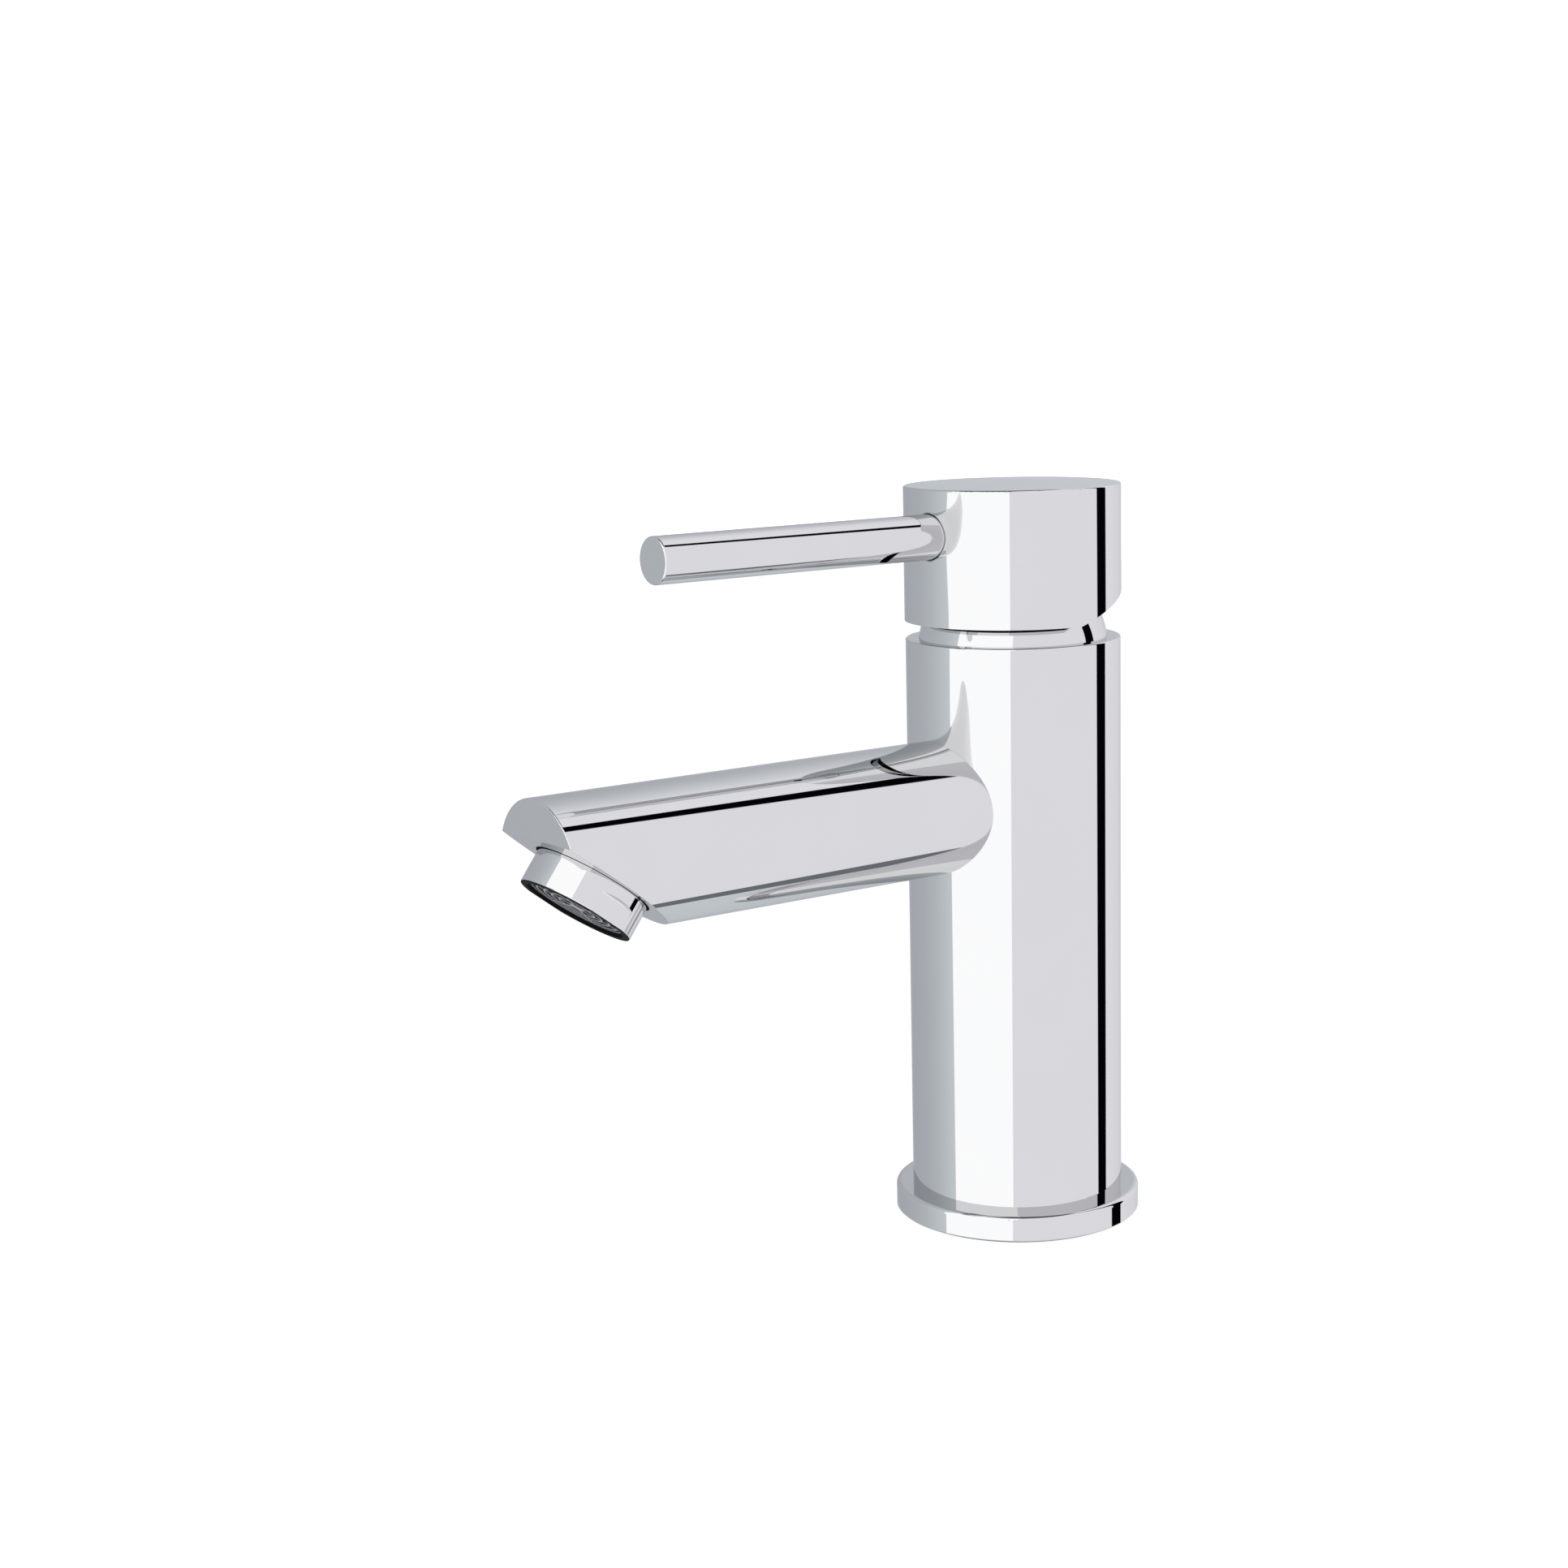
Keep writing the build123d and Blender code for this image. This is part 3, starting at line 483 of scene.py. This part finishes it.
# %% Metals and ceramic
def satin(name, light, dark, shine, streak, streak_depth, stretch, metallic):
    """A bare surface between two tones with streaks of that size, depth and direction."""
    material = bpy.data.materials.new(name)
    net = Net(material)
    streaks = net.noise(streak, 4, 0.65, stretch)
    stain = net.noise(0.005, 4)
    net.finish("ShaderNodeBsdfPrincipled", "ShaderNodeOutputMaterial", {
        "Base Color": net.mix(stain * 0.6 + streaks * 0.4, light, dark),
        "Metallic": metallic,
        "Roughness": shine + 0.15 * (streaks - 0.5) + 0.08 * stain,
        "Normal": net.bump(streaks, streak_depth),
    })
    return material


finishes["brass"] = satin(
    "turned_brass", (0.80, 0.63, 0.33), (0.66, 0.47, 0.20), 0.28, 0.0004, 0.006 * mm, (0.04, 0.04, 1), 1.0
)
finishes["steel"] = satin(
    "drawn_steel", (0.62, 0.62, 0.63), (0.48, 0.48, 0.50), 0.26, 0.0003, 0.003 * mm, (1, 0.1, 1), 1.0
)
finishes["ceramic"] = satin(
    "lapped_alumina", (0.93, 0.92, 0.89), (0.89, 0.88, 0.85), 0.14, 0.0002, 0.001 * mm, (1, 1, 1), 0.0
)
bare = {name: node.material_slots[0].name for name, node in nodes.items() if name not in plated}
for name, slot in bare.items():
    nodes[name].data.materials[0] = finishes[slot]
print("bare pieces and their finishes:", bare)

# %% [markdown]
# ## The aerator's outlet
# The sleeve round the outlet is matt black, and the grid inside it is dark grey with a paler
# glint painted on the ends of its rings, so the eye reads them. Both could keep the dark
# moulding of the cartridge's collar, but then sleeve and grid would melt into one dark spot.

# %% Outlet
# A painted glint on the ends of the grid's rings, where light would catch them.
def painted_tip_glint(net):
    depth = net.axis(aerator_centre, aerator_axis)[0]
    return depth.above(6.22 * mm, 0.06 * mm)


outlet = {
    "aerator_grid": moulded(
        "grid_moulding", (0.075, 0.08, 0.085), (0.05, 0.054, 0.06), 0.32, 0.4 * mm, 0.002 * mm,
        painted_glint=painted_tip_glint,
    ),
    "aerator_sleeve": moulded(
        "matt_black", (0.006, 0.006, 0.007), (0.003, 0.003, 0.003), 0.7, 0.3 * mm, 0.004 * mm,
        gloss=0.08,
    ),
}
for name, finish in outlet.items():
    nodes[name].data.materials[0] = finish
print("the outlet's finishes:", [finish.name for finish in outlet.values()])

# %% [markdown]
# ## Making new pieces
# CAD leaves out what would only slow it down: threads, woven wire and rounded seals. Each is
# built here from rings of points joined by faces, in place of the plain CAD piece and inside its
# outline. A ring is a function from an angle to a point, which is enough for a thread (its radius
# runs on with the angle), a hexagon and a round seal alike.

# %% Building from rings
def skin(build, rings, closed=False):
    """Faces between rings of vertices, joined end to end when closed."""
    pairs = list(zip(rings, rings[1:])) + ([(rings[-1], rings[0])] if closed else [])
    for first, second in pairs:
        for k in range(len(first)):
            after = (k + 1) % len(first)
            build.faces.new((first[k], first[after], second[after], second[k]))


def ring_at(build, count, point):
    """A ring of vertices: point(angle) for that many angles."""
    return [build.verts.new(point(2 * math.pi * k / count)) for k in range(count)]


def round_ring(build, count, radius, height, x=0, y=0):
    """A level ring about an upright axis at x, y. The radius is a number or a function of angle."""
    def point(angle):
        r = radius(angle) if callable(radius) else radius
        return x + r * math.cos(angle), y + r * math.sin(angle), height
    return ring_at(build, count, point)


def hexagon(half, corner):
    """The radius of a hexagon at an angle, with its corners cut off at a radius."""
    def radius(angle):
        turn = (angle + math.pi / 6) % (math.pi / 3) - math.pi / 6
        return min(half / math.cos(turn), corner)
    return radius


def add_piece(name, build, place, smooth_deg, body, slot, *replaced):
    """Puts a built mesh in place, gives it its finish and hangs it on its body."""
    bmesh.ops.transform(build, matrix=place, verts=build.verts)
    bmesh.ops.recalc_face_normals(build, faces=build.faces)
    for edge in build.edges:
        edge.smooth = edge.calc_face_angle(0) < math.radians(smooth_deg)
    for face in build.faces:
        face.smooth = True
    mesh = bpy.data.meshes.new(name)
    build.to_mesh(mesh)
    build.free()
    mesh.materials.append(finishes[slot])
    piece = bpy.data.objects.new(name, mesh)
    bpy.context.scene.collection.objects.link(piece)
    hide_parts(*replaced)
    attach(piece, body)
    print(name, len(mesh.vertices), "points, stands for", replaced)


along_lever = Matrix.Translation((0, 0, lever_height)) @ Matrix.Rotation(math.pi / 2, 4, "X")
out_of_spout = Vector(aerator_axis).to_track_quat("Z", "X").to_matrix().to_4x4()
out_of_spout = Matrix.Translation(aerator_centre) @ out_of_spout
print("the lever's axis points to", along_lever.to_3x3().col[2][:])

# %% [markdown]
# ## Threaded screws
# The lever is joined to the cap by a headless M6 screw with a hexagon socket, and a shorter one
# behind it clamps the cap on its stem. A Screw modifier could sweep one tooth along a helix, but
# its ends need cutting. Here every ring has the thread's radius for its height and angle, and
# the thread fades out over the last turn at each end.

# %% Screws
per_turn = 8  # rings for each turn of a thread


def thread(outer, depth, pitch, low, high):
    """The thread's radius as a function of angle, for a given height, faded out at both ends."""
    def at(height):
        fade = max(0, min(1, (height - low) / pitch, (high - height) / pitch))

        def radius(angle):
            turn = (height / pitch - angle / (2 * math.pi)) % 1
            tooth = 1 - abs(2 * turn - 1)
            return outer - depth * (1 - tooth * fade)
        return radius
    return at


def add_screw(name, start, end):
    screw = bmesh.new()
    sides, pitch, outer, depth, point_r, bevel = 48, 1.0, 2.44, 0.45, 0.2, 0.2
    screw_thread = thread(outer, depth, pitch, start, end)
    levels = int((end - start) / pitch * per_turn)
    rings = [round_ring(screw, sides, point_r, start)]
    for k in range(levels + 1):
        h = start + bevel + (end - start - 2 * bevel) * k / levels
        rings.append(round_ring(screw, sides, screw_thread(h), h))
    socket, socket_depth = hexagon(1.5, 3), 3
    for h in (end, end - socket_depth):
        rings.append(round_ring(screw, sides, socket, h))
    skin(screw, rings)
    screw.faces.new(rings[0])
    screw.faces.new(rings[-1])
    place = along_lever @ Matrix.Scale(mm, 4)
    add_piece(name, screw, place, 50, "handle", "steel", name.replace("threaded_", ""))


add_screw("threaded_lever_stud", 12.4, 30.5)
add_screw("threaded_cap_grub_screw", 3.88, 12.2)

# %% [markdown]
# ## The retaining nut
# A brass ring nut screws into the column and presses the cartridge down by its shoulder. Its
# lower part has a fine outside thread, and its upper part is a 28 mm hexagon whose corners are
# turned off. It could be cut from a cylinder with Booleans. Built from rings it is one closed
# skin, going up outside, over the top and down the bore.

# %% Nut
nut = bmesh.new()
sides, pitch, foot, thread_top = 144, 1.0, 117.6, 124.2
nut_thread = thread(19.12, 0.5, pitch, foot, thread_top)
levels = int((thread_top - foot) / pitch * per_turn)
rings = []
for k in range(levels + 1):
    h = foot + (thread_top - foot) * k / levels
    rings.append(round_ring(nut, sides, nut_thread(h), h))
grip_r, neck_r, barrel_r = 16.1, 12.9, 17.6
grip_top, hex_top, crown_top, shoulder = 127.2, 129.2, 130.0, 121.0
nut_hex, nut_crown = hexagon(14.0, 15.9), hexagon(14.0, 14.6)
outline = [
    (grip_r, thread_top), (grip_r, grip_top), (nut_hex, grip_top), (nut_hex, hex_top),
    (nut_crown, crown_top), (neck_r, crown_top), (neck_r, shoulder), (barrel_r, shoulder),
    (barrel_r, foot),
]
rings += [round_ring(nut, sides, radius, h) for radius, h in outline]
skin(nut, rings, closed=True)
add_piece("threaded_retaining_nut", nut, Matrix.Scale(mm, 4), 50, "tap_body", "brass", "retaining_nut")

# %% [markdown]
# ## Ring seals
# The rings under the cartridge, under the fixed disc and round the collar are moulded with
# rounded sections and a parting line where the two mould halves met. A torus would be too round
# for a ring that is squeezed in its groove. So each section is a rounded oblong, and the parting
# line is a small ridge at half height.

# %% Seals
def add_seals(name, body, low, high, inner, outer, centres):
    seals = bmesh.new()
    sides, ridge, square = 24, 0.03, 0.7  # a smaller power makes the section squarer
    middle, half_width = (inner + outer) / 2, (outer - inner) / 2 - ridge
    rise, half_height = (low + high) / 2, (high - low) / 2
    for x, y in centres:
        rings = []
        for k in range(sides):
            t = 2 * math.pi * k / sides
            c, s = math.cos(t), math.sin(t)
            r = middle + half_width * math.copysign(abs(c) ** square, c)
            h = rise + half_height * math.copysign(abs(s) ** square, s)
            if k in (0, sides // 2):
                r += math.copysign(ridge, c)
            rings.append(round_ring(seals, 72, r, h, x, y))
        skin(seals, rings, closed=True)
    add_piece("moulded_" + name, seals, Matrix.Scale(mm, 4), 70, body, "rubber", name)


inlets = [(9.4, -1.0), (-9.4, -1.0), (0, 7.0)]
disc_holes = [(6.8, -2.0), (-6.8, -2.0), (0, 7.0)]
add_seals("port_seals", "tap_body", 101.5, 102.9, 3.3, 4.8, inlets)
add_seals("disc_seals", "tap_body", 104.8, 106.2, 2.8, 3.9, disc_holes)
add_seals("collar_seal", "swivel", 129.25, 130.65, 9.92, 11.0, [(0, 0)])

# %% [markdown]
# ## Woven screens
# Two discs of stainless mesh lie above the aerator's grid and even out the flow. A texture with
# transparent gaps would do from afar, but the mesh is seen through the grid from close by. So
# each wire is a thin tube that rises and dips over its neighbours, half of them running across
# the others, inside a pressed steel rim.

# %% Screens
def add_wire(build, points, side, radius):
    """A tube through points that all lie in one plane, with side as the direction across it."""
    sides = 6
    rings = []
    for k, point in enumerate(points):
        ahead = (points[min(k + 1, len(points) - 1)] - points[max(k - 1, 0)]).normalized()
        lift = ahead.cross(side)
        rings.append(ring_at(
            build, sides, lambda a: point + radius * (math.cos(a) * side + math.sin(a) * lift)
        ))
    skin(build, rings)
    build.faces.new(rings[0])
    build.faces.new(rings[-1])


def add_mesh(build, u, v, phase, middle):
    """Parallel wires along u, side by side along v, woven about that depth."""
    for j in range(-12, 13):
        reach = math.sqrt(mesh_radius ** 2 - (j * spacing) ** 2)
        count = max(3, int(2 * reach / spacing * 4))
        points = []
        for k in range(count + 1):
            t = reach * (2 * k / count - 1)
            wave = 1.1 * wire * math.cos(math.pi * (t / spacing + j + phase))
            points.append(t * u + j * spacing * v + Vector((0, 0, middle + wave)))
        add_wire(build, points, v, wire)


screens = bmesh.new()
wire, spacing, mesh_radius, rim_in, rim_out = 0.1, 0.8, 10.1, 9.95, 10.3
edge, flat, bevel = 0.25, 0.2, 0.06  # the rim's half height, its side's half height, its bevel
rim = [
    (rim_in, -flat), (rim_in + bevel, -edge), (rim_out - bevel, -edge), (rim_out, -flat),
    (rim_out, flat), (rim_out - bevel, edge), (rim_in + bevel, edge), (rim_in, flat),
]
x_way, y_way = Vector((1, 0, 0)), Vector((0, 1, 0))
for middle in (0.45, 2.25):  # each screen's depth out of the slanted cut
    add_mesh(screens, x_way, y_way, 0, middle)
    add_mesh(screens, y_way, x_way, 1, middle)
    skin(screens, [round_ring(screens, 96, r, middle + h) for r, h in rim], closed=True)
place = out_of_spout @ Matrix.Scale(mm, 4)
add_piece("woven_screens", screens, place, 60, "tap_body", "steel", "aerator_screens")
